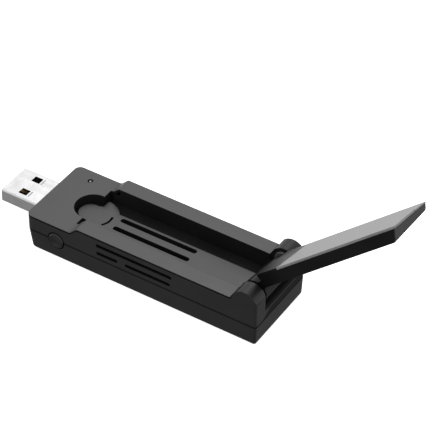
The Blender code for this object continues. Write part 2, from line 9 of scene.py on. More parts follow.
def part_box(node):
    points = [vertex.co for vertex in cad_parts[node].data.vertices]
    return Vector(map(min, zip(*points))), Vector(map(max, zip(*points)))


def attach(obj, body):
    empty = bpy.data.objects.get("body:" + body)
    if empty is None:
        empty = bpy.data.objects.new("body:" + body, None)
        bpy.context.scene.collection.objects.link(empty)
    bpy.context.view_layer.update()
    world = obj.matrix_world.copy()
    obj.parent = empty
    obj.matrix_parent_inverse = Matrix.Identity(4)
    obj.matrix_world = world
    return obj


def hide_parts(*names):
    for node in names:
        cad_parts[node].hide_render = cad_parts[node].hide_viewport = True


# A USB wireless network adapter with a fold-out antenna. The moulded pieces are made here in
# millimetres, with X measured from the plug end of the case, and are then put where the
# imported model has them. The antenna is made folded flat about its hinge, with its tip
# towards -X, and is then opened to where it stands at rest.

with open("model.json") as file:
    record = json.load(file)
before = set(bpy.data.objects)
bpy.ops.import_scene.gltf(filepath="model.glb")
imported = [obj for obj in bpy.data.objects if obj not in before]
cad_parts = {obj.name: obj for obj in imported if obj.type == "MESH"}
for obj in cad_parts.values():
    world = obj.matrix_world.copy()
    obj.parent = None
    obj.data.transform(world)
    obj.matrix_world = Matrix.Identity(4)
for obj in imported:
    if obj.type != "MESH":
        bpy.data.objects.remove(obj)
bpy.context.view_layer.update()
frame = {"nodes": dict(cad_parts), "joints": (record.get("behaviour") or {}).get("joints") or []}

MM = 0.001
FIT_GAP = 0.3                   # clearance between pieces that fit together
CASE_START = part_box("upper_housing")[0].x
CASE_PLACE = Matrix.Translation((CASE_START, 0.0, 0.0)) @ Matrix.Scale(MM, 4)
HINGE = next(joint for joint in frame["joints"] if joint["name"] == "antenna_hinge")
ANTENNA_PLACE = (Matrix.Translation(HINGE["pos_m"])
                 @ Matrix.Rotation(math.radians(-HINGE["range_deg"][0]), 4, "Y")
                 @ Matrix.Scale(MM, 4))


def corners(node):
    """A node's lowest and highest corners in millimetres, with X from the plug end of the case."""
    return [CASE_PLACE.inverted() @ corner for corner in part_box(node)]


TRAY_TOP = corners("bottom_shell")[1].z
HOUSING_BOTTOM = corners("upper_housing")[0].z
CASE_LENGTH, CASE_HALF_WIDTH, _ = corners("upper_housing")[1]
COVER_END, _, RAIL_TOP = corners("top_cover")[1]
PLUG_LOW, PLUG_HIGH = corners("usb_plug_shell")
TONGUE_LOW, TONGUE_HIGH = corners("usb_tongue")
LABEL_LOW, LABEL_HIGH = corners("rating_label")
BUTTON_LOW, BUTTON_HIGH = corners("pairing_button")
PIPE_LOW, PIPE_HIGH = corners("led_light_pipe")
HINGE_X, _, HINGE_Z = CASE_PLACE.inverted() @ Vector(HINGE["pos_m"])

# Case
WALL = 1.4
PLUG_END_CORNER = 2.0
HINGE_END_CORNER = 0.8
CAVITY_CORNERS = {"near": 2.4, "far": 1.9}     # before the wall is taken off
TRAY_FLOOR = 1.4
TRAY_EDGE = 0.6
TRAY_LIP_GAP = 0.15
TRAY_LIP_THICKNESS = 0.6
BOARD_POSTS = ((14.0, 8.0), (14.0, -5.0), (60.0, 8.0), (60.0, -8.0))
POST_RADIUS = 1.2
PLUG_END_DRAFT = 0.9
SIDE_DRAFT = 0.2
COVER_SKIN = 0.8
COVER_EDGE = 0.3                # what shows of the cover's rim beside the housing's lip
LIP = 0.6
LOW_TOP = 11.9
RAMP_START = 15.5
RAMP_END = 18.0
RAMP_FOOT_RADIUS = 1.6
RAMP_SHOULDER_RADIUS = 1.0
POCKET_FLOOR = 10.0
PLUG_HOLE_HALF_WIDTH = (PLUG_HIGH.y - PLUG_LOW.y) / 2 + FIT_GAP
PLUG_AXIS = (PLUG_LOW.z + PLUG_HIGH.z) / 2
BUTTON_X = (BUTTON_LOW.x + BUTTON_HIGH.x) / 2
BUTTON_Z = (BUTTON_LOW.z + BUTTON_HIGH.z) / 2
BUTTON_RADIUS = 2.6
PIPE_PLACE = ((PIPE_LOW.x + PIPE_HIGH.x) / 2, (PIPE_LOW.y + PIPE_HIGH.y) / 2)
PIPE_RADIUS = 0.38
PIPE_HOLE_RADIUS = 0.74
SIDE_VENTS = ((24.7, 50.3, 11.5), (24.8, 31.9, 8.7), (34.7, 49.8, 8.7))
SIDE_VENT_HEIGHT = 1.1
PILLAR_HOLLOW_X = (71.2, 76.9)
PILLAR_HOLLOW_TOP = 16.4
PIVOT_RADIUS = 1.8

# Plug
PLUG_SHEET = 0.3
LATCH_HOLE_X = (-9.3, -6.5)
LATCH_HOLE_Y = 3.2
LATCH_HOLE_HALF_WIDTH = 1.2
TICK_X = (-5.95, -5.55)         # the short pressed line beside each latch hole
PRESS_DEPTH = 0.12
CONTACT_GROOVE_X = (-13.3, 6.0)

# Recess in the cover that the antenna folds into
RECESS_HALF_WIDTH = 8.2
RECESS_START = 14.8
RECESS_FLOOR = 8.4
TROUGH_UNDERSIDE = 7.3
TROUGH_WALL = 1.0
PLATEAU_TOP = 9.4
PLATEAU_HALF_WIDTH = 3.7
HEAD_NECK_HALF_WIDTH = 4.0      # where the plateau's head steps in to the disc
FINGER_X = 14.5
FINGER_RADIUS = 5.5
DISC_X = 13.4
DISC_RADIUS = 3.5
HEAD_X = 15.6
HEAD_RADIUS = 6.8
NOTCH_END = 16.1                # the notches at the recess's plug end reach out past its sides
NOTCH_HALF_WIDTH = 8.75
GROOVE_X = 16.0
GROOVE_RADII = (4.2, 4.85)
GROOVE_ANGLES = (-40, 20)
TOP_VENT_X = (23.0, 49.0)
TOP_VENT_Y = 2.0
TOP_VENT_HALF_WIDTH = 0.8

# Antenna, from the hinge axis while folded flat
ANTENNA_LENGTH = 59.0
ANTENNA_HALF_WIDTH = 7.3
ANTENNA_THICKNESS = 4.5         # along its front edge, where the blade is thickest
ANTENNA_BACK_THICKNESS = 2.5
TIP_SLANT = 3.0
BARREL_RADIUS = 3.7
NECK_DEPTH = 2.3
ROOT_START = 4.4
PANEL_START = 12.5
PANEL_THICKNESS = 0.7
PANEL_GAP = 0.14
THUMB_NOTCH = 0.45
THUMB_NOTCH_Y = (-3.8, 2.3)
HOLLOW_LOW = (-56.0, -6.3, -9.0)
HOLLOW_HIGH = (-14.5, 6.3, -1.0)
LEAD_CHANNEL_LOW = (-16.2, -4.0, -1.98)
LEAD_CHANNEL_HIGH = (-0.3, 4.0, -0.42)


def arc(centre, radius, start, end, steps):
    """Points on an arc, with the angles in degrees."""
    turns = [math.radians(start + (end - start) * step / steps) for step in range(steps + 1)]
    return [(centre[0] + radius * math.cos(t), centre[1] + radius * math.sin(t)) for t in turns]


def rounded(corner_list, steps=6):
    """An outline of (a, b, radius) corners, with each corner turned into an arc."""
    outline = []
    for number, (a, b, radius) in enumerate(corner_list):
        corner = Vector((a, b))
        if not radius:
            outline.append((a, b))
            continue
        back = (Vector(corner_list[number - 1][:2]) - corner).normalized()
        ahead = (Vector(corner_list[(number + 1) % len(corner_list)][:2]) - corner).normalized()
        half = back.angle(ahead) / 2
        centre = corner + (back + ahead).normalized() * radius / math.sin(half)
        start = corner + back * radius / math.tan(half) - centre
        end = corner + ahead * radius / math.tan(half) - centre
        sweep = math.atan2(start.x * end.y - start.y * end.x, start.dot(end))
        outline += [tuple(centre + Matrix.Rotation(sweep * step / steps, 2) @ start)
                    for step in range(steps + 1)]
    return outline


def rectangle(low_a, high_a, low_b, high_b, radius=0.0, steps=4):
    return rounded([(low_a, low_b, radius), (high_a, low_b, radius),
                    (high_a, high_b, radius), (low_a, high_b, radius)], steps)


def case_plan(inset=0.0, low_x=0.0, high_x=CASE_LENGTH, half_width=CASE_HALF_WIDTH,
              near=PLUG_END_CORNER, far=HINGE_END_CORNER):
    """The case seen from above, drawn in by an inset."""
    low, high, side = low_x + inset, high_x - inset, half_width - inset
    near, far = max(near - inset, 0.2), max(far - inset, 0.2)
    return rounded([(low, -side, near), (high, -side, far), (high, side, far),
                    (low, side, near)], 8)


def new_solid(shape):
    """An object in the scene from a finished bmesh, with its faces turned outwards."""
    bmesh.ops.recalc_face_normals(shape, faces=shape.faces)
    mesh = bpy.data.meshes.new("work")
    shape.to_mesh(mesh)
    shape.free()
    solid = bpy.data.objects.new("work", mesh)
    bpy.context.scene.collection.objects.link(solid)
    return solid


def loft(rings):
    """A closed solid through rings of points, with a flat face at each end."""
    shape = bmesh.new()
    loops = [[shape.verts.new(point) for point in ring] for ring in rings]
    shape.faces.new(loops[0])
    shape.faces.new(loops[-1])
    for below, above in zip(loops, loops[1:]):
        for here in range(len(below)):
            there = (here + 1) % len(below)
            shape.faces.new((below[here], below[there], above[there], above[here]))
    return new_solid(shape)


def slab(outline, low, high, axis="Z"):
    """A flat outline pushed out between two heights along an axis."""
    def place(a, b, height):
        return {"X": (height, a, b), "Y": (a, height, b), "Z": (a, b, height)}[axis]
    return loft([[place(a, b, height) for a, b in outline] for height in (low, high)])


def box(low, high):
    return slab(rectangle(low[0], high[0], low[1], high[1]), low[2], high[2])


def rod(centre, radius, length, axis, steps=48):
    """A cylinder about its centre along one axis."""
    along = "XYZ".index(axis)
    flat = [centre[i] for i in range(3) if i != along]
    middle = centre[along]
    circle = arc(flat, radius, 0, 360, steps)[:-1]
    return slab(circle, middle - length / 2, middle + length / 2, axis)


def turned(profile, centre, axis, steps=48):
    """A closed solid from (radius, height) points that start and end on the axis."""
    shape = bmesh.new()
    top, bottom = (shape.verts.new((0.0, 0.0, profile[end][1])) for end in (0, -1))
    turns = [math.tau * step / steps for step in range(steps)]
    rings = [[shape.verts.new((radius * math.cos(t), radius * math.sin(t), height)) for t in turns]
             for radius, height in profile[1:-1]]
    for here in range(steps):
        there = (here + 1) % steps
        shape.faces.new((top, rings[0][here], rings[0][there]))
        shape.faces.new((bottom, rings[-1][there], rings[-1][here]))
        for above, below in zip(rings, rings[1:]):
            shape.faces.new((above[here], below[here], below[there], above[there]))
    turn = {"Z": Matrix.Identity(4), "-Y": Matrix.Rotation(math.radians(90), 4, "X")}[axis]
    bmesh.ops.transform(shape, matrix=Matrix.Translation(centre) @ turn, verts=shape.verts)
    return new_solid(shape)


def settle(solid):
    """Turns what the modifiers make into the object's plain mesh."""
    bpy.context.view_layer.update()
    evaluated = solid.evaluated_get(bpy.context.evaluated_depsgraph_get())
    mesh = bpy.data.meshes.new_from_object(evaluated)
    solid.modifiers.clear()
    solid.data = mesh
    return solid


def combine(solid, operation, others):
    for other in others:
        step = solid.modifiers.new("step", "BOOLEAN")
        step.solver = "EXACT"
        step.operation = operation
        step.object = other
    settle(solid)
    for other in others:
        bpy.data.objects.remove(other, do_unlink=True)
    return solid


def cut(solid, *others):
    return combine(solid, "DIFFERENCE", others)


def add(solid, *others):
    return combine(solid, "UNION", others)


def keep(solid, *others):
    return combine(solid, "INTERSECT", others)


def ease(solid, width, segments=2, where=None, angle=30):
    """Rounds over the edges sharper than the angle, where a rule on their middles says so."""
    mesh = solid.data
    shape = bmesh.new()
    shape.from_mesh(mesh)
    weight = shape.edges.layers.float.new("bevel_weight_edge")
    for edge in shape.edges:
        sharp = len(edge.link_faces) == 2 and edge.calc_face_angle() > math.radians(angle)
        middle = (edge.verts[0].co + edge.verts[1].co) / 2
        edge[weight] = 1.0 if sharp and (where is None or where(middle)) else 0.0
    shape.to_mesh(mesh)
    shape.free()
    bevel = solid.modifiers.new("eased", "BEVEL")
    bevel.width = width
    bevel.segments = segments
    bevel.limit_method = "WEIGHT"
    bevel.use_clamp_overlap = False
    return settle(solid)


def complete(solid, name, body, finishes, nodes, place=CASE_PLACE, pick=None):
    """Names a finished solid, shades it, puts it in place and gives it to its body."""
    solid.name = name
    solid.data.name = name
    solid.data.materials.clear()
    for finish in finishes:
        solid.data.materials.append(finish)
    for face in solid.data.polygons:
        face.material_index = pick(face) if pick else 0
    solid.data.shade_smooth()
    solid.data.set_sharp_from_angle(angle=math.radians(40))
    shading = solid.modifiers.new("shading", "WEIGHTED_NORMAL")
    shading.keep_sharp = True
    settle(solid)
    solid.data.transform(place)
    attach(solid, body)
    if nodes:
        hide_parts(*nodes)
    return solid


# Finishes

class Finish:
    """A procedural material that reads Object coordinates."""

    def __init__(self, name, roughness, metallic=0.0, **sockets):
        self.material = bpy.data.materials.new(name)
        self.material.use_nodes = True
        self.nodes = self.material.node_tree.nodes
        self.links = self.material.node_tree.links
        self.shader = self.nodes["Principled BSDF"]
        self.shader.inputs["Metallic"].default_value = metallic
        self.shader.inputs["Roughness"].default_value = roughness
        self.roughness = roughness
        for socket, value in sockets.items():
            self.shader.inputs[socket.replace("_", " ")].default_value = value
        self.place = self.nodes.new("ShaderNodeTexCoord").outputs["Object"]

    def noise(self, scale, detail=3.0, stretch=None):
        """Noise with a scale in patches per metre, drawn out by a stretch on each axis."""
        place = self.place
        if stretch:
            mapping = self.nodes.new("ShaderNodeMapping")
            mapping.inputs["Scale"].default_value = stretch
            self.links.new(place, mapping.inputs["Vector"])
            place = mapping.outputs["Vector"]
        noise = self.nodes.new("ShaderNodeTexNoise")
        noise.inputs["Scale"].default_value = scale
        noise.inputs["Detail"].default_value = detail
        self.links.new(place, noise.inputs["Vector"])
        return noise.outputs["Fac"]

    def colours(self, driver, dark, light, low=0.35, high=0.65):
        """The base colour runs from dark to light as the driver does."""
        ramp = self.nodes.new("ShaderNodeValToRGB")
        for stop, place, colour in zip(ramp.color_ramp.elements, (low, high), (dark, light)):
            stop.position = place
            stop.color = (*colour, 1.0)
        self.links.new(driver, ramp.inputs["Fac"])
        self.links.new(ramp.outputs["Color"], self.shader.inputs["Base Color"])

    def sheen_patches(self, driver, spread):
        """Roughness that varies by a spread about its own value."""
        span = self.nodes.new("ShaderNodeMapRange")
        span.inputs["From Min"].default_value = 0.3
        span.inputs["From Max"].default_value = 0.7
        span.inputs["To Min"].default_value = max(self.roughness - spread, 0.02)
        span.inputs["To Max"].default_value = self.roughness + spread
        self.links.new(driver, span.inputs["Value"])
        self.links.new(span.outputs["Result"], self.shader.inputs["Roughness"])

    def grain(self, driver, depth):
        """Relief of a depth in metres."""
        bump = self.nodes.new("ShaderNodeBump")
        bump.inputs["Strength"].default_value = 1.0
        bump.inputs["Distance"].default_value = depth
        self.links.new(driver, bump.inputs["Height"])
        self.links.new(bump.outputs["Normal"], self.shader.inputs["Normal"])


def moulded(name, tone, roughness, grain_scale=3200.0, grain_depth=0.000006, tint=(1.0, 1.0, 1.03),
            **sockets):
    """Moulded plastic: a fine spark-eroded grain, with faint cloudiness in colour and gloss."""
    finish = Finish(name, roughness, **sockets)
    cloud = finish.noise(90.0)
    finish.colours(cloud, [0.88 * tone * t for t in tint], [1.12 * tone * t for t in tint])
    finish.sheen_patches(cloud, 0.05)
    finish.grain(finish.noise(grain_scale, 2.0), grain_depth)
    return finish.material


def rolled_metal(name, dark, light, roughness, stretch):
    """Plated sheet with the fine lines that rolling leaves."""
    finish = Finish(name, roughness, metallic=1.0)
    lines = finish.noise(900.0, 4.0, stretch)
    finish.colours(lines, dark, light, 0.3, 0.7)
    finish.sheen_patches(finish.noise(260.0), 0.05)
    finish.grain(lines, 0.000002)
    return finish.material


def solder_mask():
    """Green board lacquer with copper tracks that show faintly through it."""
    finish = Finish("board_green", 0.35)
    tracks = finish.nodes.new("ShaderNodeTexBrick")
    tracks.inputs["Scale"].default_value = 420.0
    tracks.inputs["Mortar Size"].default_value = 0.08
    tracks.inputs["Color1"].default_value = (0.012, 0.085, 0.04, 1.0)
    tracks.inputs["Color2"].default_value = (0.016, 0.10, 0.05, 1.0)
    tracks.inputs["Mortar"].default_value = (0.03, 0.16, 0.07, 1.0)
    finish.links.new(finish.place, tracks.inputs["Vector"])
    finish.links.new(tracks.outputs["Color"], finish.shader.inputs["Base Color"])
    finish.grain(tracks.outputs["Fac"], 0.00002)
    finish.sheen_patches(finish.noise(200.0), 0.06)
    return finish.material


# Black case plastic; its low tone and weak gloss are also painted shade, keeping the side walls
# darker than the cover.
CASE_BLACK_AND_SIDE_SHADE = moulded("case_black_and_side_shade", 0.005, 0.42, Specular_IOR_Level=0.35)
COVER_GREY = moulded("cover_grey", 0.034, 0.38)
# Painted shade: a dull black put on recesses, slots, joint lines and the ring round the light,
# where shade falls.
PAINTED_SHADE_BLACK = moulded("painted_shade_black", 0.009, 0.7, Specular_IOR_Level=0.08)
# Painted shade: a darker, less glossy copy of the antenna plastic for the root, where shade falls.
ROOT_PAINTED_SHADE = moulded("antenna_root_painted_shade", 0.004, 0.3, grain_depth=0.0000015,
                     Specular_IOR_Level=0.12)
BUTTON_BLACK = moulded("button_black", 0.005, 0.17, grain_depth=0.000002, Specular_IOR_Level=0.4)
ANTENNA_BLACK = moulded("antenna_black", 0.017, 0.24, grain_depth=0.0000015,
                        Specular_IOR_Level=0.45)
# Painted shade: darker, duller metal in the pressed lines, where shade falls in the crease.
PRESSED_LINE_SHADE = rolled_metal("pressed_line_shade", (0.3, 0.3, 0.3), (0.36, 0.36, 0.36), 0.4,
                            (0.05, 1.0, 1.0))
# Grey panel plastic, made lighter in part as painted reflection of the bright studio on its inner
# face.
PANEL_GREY_AND_REFLECTION = moulded("antenna_panel_grey_and_reflection", 0.17, 0.2, grain_depth=0.0000015)
# Black tongue plastic, chosen as painted shade so that the plug's inside reads dark through the
# latch holes.
TONGUE_SHADE_BLACK = moulded("tongue_shade_black", 0.006, 0.5, Specular_IOR_Level=0.2)
CHIP_BLACK = moulded("chip_black", 0.012, 0.45, grain_depth=0.00001)
LABEL_FILM = moulded("label_film", 0.5, 0.5, grain_scale=900.0)
LEAD_JACKET = moulded("lead_jacket", 0.015, 0.5)
THERMAL_PAD = moulded("thermal_pad", 0.3, 0.8, tint=(0.85, 1.0, 1.35), grain_scale=1500.0,
                      grain_depth=0.00002)
PLUG_NICKEL = rolled_metal("plug_nickel", (0.59, 0.59, 0.6), (0.65, 0.65, 0.65), 0.26,
                           (0.05, 1.0, 1.0))
SHIELD_TIN = rolled_metal("shield_tin", (0.55, 0.55, 0.56), (0.68, 0.68, 0.68), 0.35,
                          (0.06, 1.0, 1.0))
# Gold plating, toned darker as painted shade so that the contacts seen through the latch holes read
# dark.
CONTACT_GOLD_AND_SHADE = rolled_metal("contact_gold_and_shade", (0.5, 0.34, 0.12), (0.62, 0.44, 0.17), 0.22,
                            (0.1, 1.0, 1.0))
BOARD_GREEN = solder_mask()
PIPE_CLEAR = moulded("pipe_clear", 0.42, 0.15, Transmission_Weight=0.35)


# Case

def roof(top, bottom, start=0.0, end=COVER_END):
    """A slab that follows the roof of the case, between two depths below it."""
    upper = [(start, LOW_TOP - top, 0.0), (RAMP_START, LOW_TOP - top, RAMP_FOOT_RADIUS),
             (RAMP_END, RAIL_TOP - top, RAMP_SHOULDER_RADIUS), (end, RAIL_TOP - top, 0.0)]
    lower = [(end, RAIL_TOP - bottom, 0.0),
             (RAMP_END + FIT_GAP, RAIL_TOP - bottom, RAMP_SHOULDER_RADIUS),
             (RAMP_START + FIT_GAP, LOW_TOP - bottom, RAMP_FOOT_RADIUS),
             (start, LOW_TOP - bottom, 0.0)]
    return slab(rounded(upper + lower), -CASE_HALF_WIDTH - 1, CASE_HALF_WIDTH + 1, "Y")


def roof_height(x):
    """The height of the roof at a station."""
    along = min(max((x - RAMP_START) / (RAMP_END - RAMP_START), 0.0), 1.0)
    return LOW_TOP + along * (RAIL_TOP - LOW_TOP)


def plug_hole():
    reach = (PLUG_HIGH.z - PLUG_LOW.z) / 2 + FIT_GAP
    outline = rectangle(-PLUG_HOLE_HALF_WIDTH, PLUG_HOLE_HALF_WIDTH,
                        PLUG_AXIS - reach, PLUG_AXIS + reach, 0.4)
    return slab(outline, -2.0, WALL + 2.0, "X")


def button_hole():
    return rod((BUTTON_X, -CASE_HALF_WIDTH, BUTTON_Z), BUTTON_RADIUS + FIT_GAP, 4.0, "Y")


def tray_ring(z, inset):
    """The tray's outline at one height, with its draft towards the underside."""
    draft = 1 - z / TRAY_TOP
    outline = case_plan(inset, PLUG_END_DRAFT * draft, CASE_LENGTH - SIDE_DRAFT * draft,
                        CASE_HALF_WIDTH - SIDE_DRAFT * draft)
    return [(x, y, z) for x, y in outline]


def make_tray():
    turns = [math.radians(t) for t in range(0, 91, 15)]
    edge = [(TRAY_EDGE * (1 - math.cos(t)), TRAY_EDGE * (1 - math.sin(t))) for t in turns]
    rim = 0.2
    tray = loft([tray_ring(z, inset) for z, inset in edge]
                + [tray_ring(TRAY_TOP - rim, 0.0), tray_ring(TRAY_TOP, rim)])
    lip_inset = WALL + TRAY_LIP_GAP
    lip = slab(case_plan(lip_inset), TRAY_FLOOR - 0.2, TRAY_TOP + 0.9)
    cut(lip, slab(case_plan(lip_inset + TRAY_LIP_THICKNESS), 0.0, 9.0),
        box((-1, -7.5, 5.0), (4, 7.5, 9.0)),
        rod((BUTTON_X, -CASE_HALF_WIDTH, BUTTON_Z), 3.8, 8.0, "Y"))
    cut(tray, slab(case_plan(WALL, **CAVITY_CORNERS), TRAY_FLOOR, 9.0))
    add(tray, lip)
    label = rectangle(LABEL_LOW.x - FIT_GAP, LABEL_HIGH.x + FIT_GAP, LABEL_LOW.y - FIT_GAP,
                      LABEL_HIGH.y + FIT_GAP, 1.5, 8)
    cut(tray, slab(label, -1.0, LABEL_HIGH.z + FIT_GAP), plug_hole(), button_hole())
    post_top = corners("main_board")[0].z - FIT_GAP
    for x, y in BOARD_POSTS:
        add(tray, rod((x, y, (post_top + TRAY_FLOOR) / 2), POST_RADIUS,
                      post_top - TRAY_FLOOR + 0.4, "Z", 20))
    # The tray's rim at the joint line gets painted shade.
    complete(tray, "bottom_tray", "case", [CASE_BLACK_AND_SIDE_SHADE, PAINTED_SHADE_BLACK],
             ["bottom_shell"], pick=lambda face: int(face.center.z > TRAY_TOP - rim - 0.01))


def make_housing():
    lip_depth = COVER_EDGE + 0.44
    front = COVER_END + FIT_GAP
    under_cover = COVER_SKIN + FIT_GAP
    dome = arc((HINGE_X, HINGE_Z), CASE_LENGTH - HINGE_X, 145, 0, 40)
    profile = rounded([(0.0, HOUSING_BOTTOM, 0.0), (0.0, LOW_TOP - lip_depth, 0.0),
                       (RAMP_START, LOW_TOP - lip_depth, RAMP_FOOT_RADIUS),
                       (RAMP_END, RAIL_TOP - lip_depth, RAMP_SHOULDER_RADIUS),
                       (front, RAIL_TOP - lip_depth, 0.0), (front, RAIL_TOP, 0.5)]
                      + [(*point, 0.0) for point in dome] + [(CASE_LENGTH, HOUSING_BOTTOM, 0.0)])
    housing = slab(profile, -CASE_HALF_WIDTH - 1, CASE_HALF_WIDTH + 1, "Y")
    keep(housing, slab(case_plan(), 5.0, 20.0))
    rebate = keep(roof(-6.0, under_cover, -1.0, front),
                  slab(case_plan(LIP, high_x=front + 5), 5.0, 30.0))
    inner = CASE_HALF_WIDTH - WALL
    pocket_edge, drop, inside, outside = CASE_LENGTH - 0.2, 2.2, 60.0, 90.0
    lip_edge = rounded([(inside, 20.0, 0.0), (inside, POCKET_FLOOR, 0.0),
                        (pocket_edge, POCKET_FLOOR, 1.2),
                        (pocket_edge + 0.5, POCKET_FLOOR - drop, 0.0),
                        (outside, POCKET_FLOOR - drop, 0.0), (outside, 20.0, 0.0)])
    cut(housing, rebate,
        slab(case_plan(WALL, high_x=front + WALL, **CAVITY_CORNERS), 5.0, 20.0),
        box((inside, -inner, 5.0), (CASE_LENGTH - WALL, inner, POCKET_FLOOR - 1.3)),
        slab(lip_edge, -RECESS_HALF_WIDTH, RECESS_HALF_WIDTH, "Y"),
        plug_hole(), button_hole())
    for side in (1, -1):
        low, high = sorted((side * 9.5, side * 12.0))
        hollow_start, hollow_end = PILLAR_HOLLOW_X
        cut(housing, box((hollow_start, low, 5.0), (hollow_end, high, PILLAR_HOLLOW_TOP)),
            rod((HINGE_X, side * 9.0, HINGE_Z), PIVOT_RADIUS, 2.4, "Y"))
        for start, end, z in SIDE_VENTS:
            low, high = sorted((side * (inner - 1.0), side * (CASE_HALF_WIDTH + 1.0)))
            slot = rectangle(start, end, z - SIDE_VENT_HEIGHT / 2, z + SIDE_VENT_HEIGHT / 2, 0.35)
            cut(housing, slab(slot, low, high, "Y"))

    def shows(middle):
        """The outer edges of the walls, and those of the pillars and the pocket between them."""
        at_hinge = (middle.x > front - 0.1 and middle.z > POCKET_FLOOR - 1.5
                    and abs(middle.y) < 9.4)
        on_outside = (abs(middle.y) > CASE_HALF_WIDTH - 0.1 or middle.x < 0.1
                      or middle.x > CASE_LENGTH - 0.1)
        on_slope = RAMP_START - 0.6 < middle.x < RAMP_END + 0.6 and middle.z > LOW_TOP - 2
        near_dome_foot = middle.x < front + 1.4 and middle.z > RAIL_TOP - 0.2
        at_corner = (middle.x > CASE_LENGTH - 1.0 and abs(middle.y) > CASE_HALF_WIDTH - 1.0
                     and middle.z > HINGE_Z - 0.6)
        return ((at_hinge or on_outside or middle.z > RAIL_TOP + 0.1)
                and not (on_slope or near_dome_foot or at_corner))

    def pick(face):
        """Painted shade: the joint lines and the pocket between the pillars are given a dull, dark
        black where shade falls.
        """
        x, y, z = face.center
        under_rim = (z > roof_height(x) - 1.3 and 0.3 < x < front + 0.05
                     and abs(y) < CASE_HALF_WIDTH - 0.3)
        in_pocket = x > front and abs(y) < RECESS_HALF_WIDTH + 0.03 and z > POCKET_FLOOR - 0.6
        return int(z < HOUSING_BOTTOM + 0.17 or under_rim or in_pocket)

    ease(housing, 0.13, 2, shows)
    complete(housing, "side_housing", "case", [CASE_BLACK_AND_SIDE_SHADE, PAINTED_SHADE_BLACK],
             ["upper_housing"], pick=pick)


def make_cover():
    beyond = COVER_END + 3.0
    cover = keep(roof(0.0, COVER_EDGE, -1.0, beyond), slab(case_plan(high_x=beyond + 5), 5.0, 20.0))
    add(cover,
        keep(roof(COVER_EDGE - 0.1, COVER_SKIN, -1.0, beyond),
             slab(case_plan(LIP + 0.25, high_x=beyond + 5), 5.0, 20.0)))
    outer = RECESS_HALF_WIDTH + TROUGH_WALL
    low_join = LOW_TOP - COVER_SKIN / 2
    high_join = RAIL_TOP - COVER_SKIN / 2
    add(cover,
        box((RECESS_START - TROUGH_WALL, -outer, TROUGH_UNDERSIDE), (beyond + 1, outer, low_join)),
        box((RAMP_END + 0.5, -outer, low_join - 0.7), (beyond + 1, outer, high_join)),
        rod((FINGER_X, 0.0, (TROUGH_UNDERSIDE + low_join) / 2), FINGER_RADIUS + TROUGH_WALL,
            low_join - TROUGH_UNDERSIDE, "Z", 96))
    cut(cover,
        box((RECESS_START, -RECESS_HALF_WIDTH, RECESS_FLOOR), (90.0, RECESS_HALF_WIDTH, 20.0)),
        box((RECESS_START, -NOTCH_HALF_WIDTH, RECESS_FLOOR), (NOTCH_END, NOTCH_HALF_WIDTH, 20.0)),
        rod((FINGER_X, 0.0, RECESS_FLOOR + 6.0), FINGER_RADIUS, 12.0, "Z", 96))
    head = math.degrees(math.asin(PLATEAU_HALF_WIDTH / HEAD_RADIUS))
    middle = (HEAD_X, 0.0)
    step = HEAD_X - 0.3
    keyhole = ([(beyond + 1, -PLATEAU_HALF_WIDTH), (beyond + 1, PLATEAU_HALF_WIDTH)]
               + arc(middle, HEAD_RADIUS, head, 88, 16)
               + [(step, HEAD_RADIUS - 0.05), (step, HEAD_NECK_HALF_WIDTH)]
               + arc((DISC_X, 0.0), DISC_RADIUS, 80, 280, 40)
               + [(step, -HEAD_NECK_HALF_WIDTH), (step, 0.05 - HEAD_RADIUS)]
               + arc(middle, HEAD_RADIUS, -88, -head, 16))
    add(cover, slab(keyhole, RECESS_FLOOR - 0.4, PLATEAU_TOP))
    cut(cover, box((COVER_END, -20.0, 0.0), (90.0, 20.0, 30.0)))
    for y in (TOP_VENT_Y, -TOP_VENT_Y):
        slot = rectangle(*TOP_VENT_X, y - TOP_VENT_HALF_WIDTH, y + TOP_VENT_HALF_WIDTH, 0.79, 8)
        cut(cover, slab(slot, 5.0, 12.0))
    turn = (GROOVE_X, 0.0)
    groove = (arc(turn, GROOVE_RADII[1], *GROOVE_ANGLES, 20)
              + arc(turn, GROOVE_RADII[0], *reversed(GROOVE_ANGLES), 20))
    cut(cover, slab(groove, PLATEAU_TOP - 0.8, 12.0),
        rod((*PIPE_PLACE, LOW_TOP), PIPE_HOLE_RADIUS, 4.0, "Z", 32))

    def shows(middle):
        """The edges on the roof and round the plateau."""
        on_roof = abs(middle.z - roof_height(middle.x)) < 0.12
        return on_roof or abs(middle.z - PLATEAU_TOP) < 0.05

    ease(cover, 0.12, 2, shows)

    def pick(face):
        """Painted shade: the recess below the plateau, its walls, the slots, the ring round the
        light and the underside are given a dull black.
        """
        x, y, z = face.center
        below = roof_height(x) - z
        half_width = NOTCH_HALF_WIDTH if x < NOTCH_END + 0.05 else RECESS_HALF_WIDTH
        in_recess = abs(y) < half_width + 0.05 and x > FINGER_X - FINGER_RADIUS - 0.05
        rim = below > 0.05 and abs(face.normal.z) < 0.3 and not in_recess
        wall = in_recess and abs(face.normal.z) < 0.3 and 0.2 < below
        round_light = math.dist((x, y), PIPE_PLACE) < PIPE_HOLE_RADIUS + 0.15
        underside = below > COVER_EDGE - 0.03 and not in_recess
        return int(rim or wall or round_light or underside
                   or (in_recess and z < PLATEAU_TOP - 0.12))

    complete(cover, "top_cover_skin", "case", [COVER_GREY, PAINTED_SHADE_BLACK],
             ["top_cover"], pick=pick)


def make_label():
    outline = rectangle(LABEL_LOW.x, LABEL_HIGH.x, LABEL_LOW.y, LABEL_HIGH.y, 1.2, 8)
    label = slab(outline, LABEL_LOW.z, LABEL_HIGH.z)
    ease(label, 0.04, 2)
    complete(label, "blank_label", "case", [LABEL_FILM], ["rating_label"])


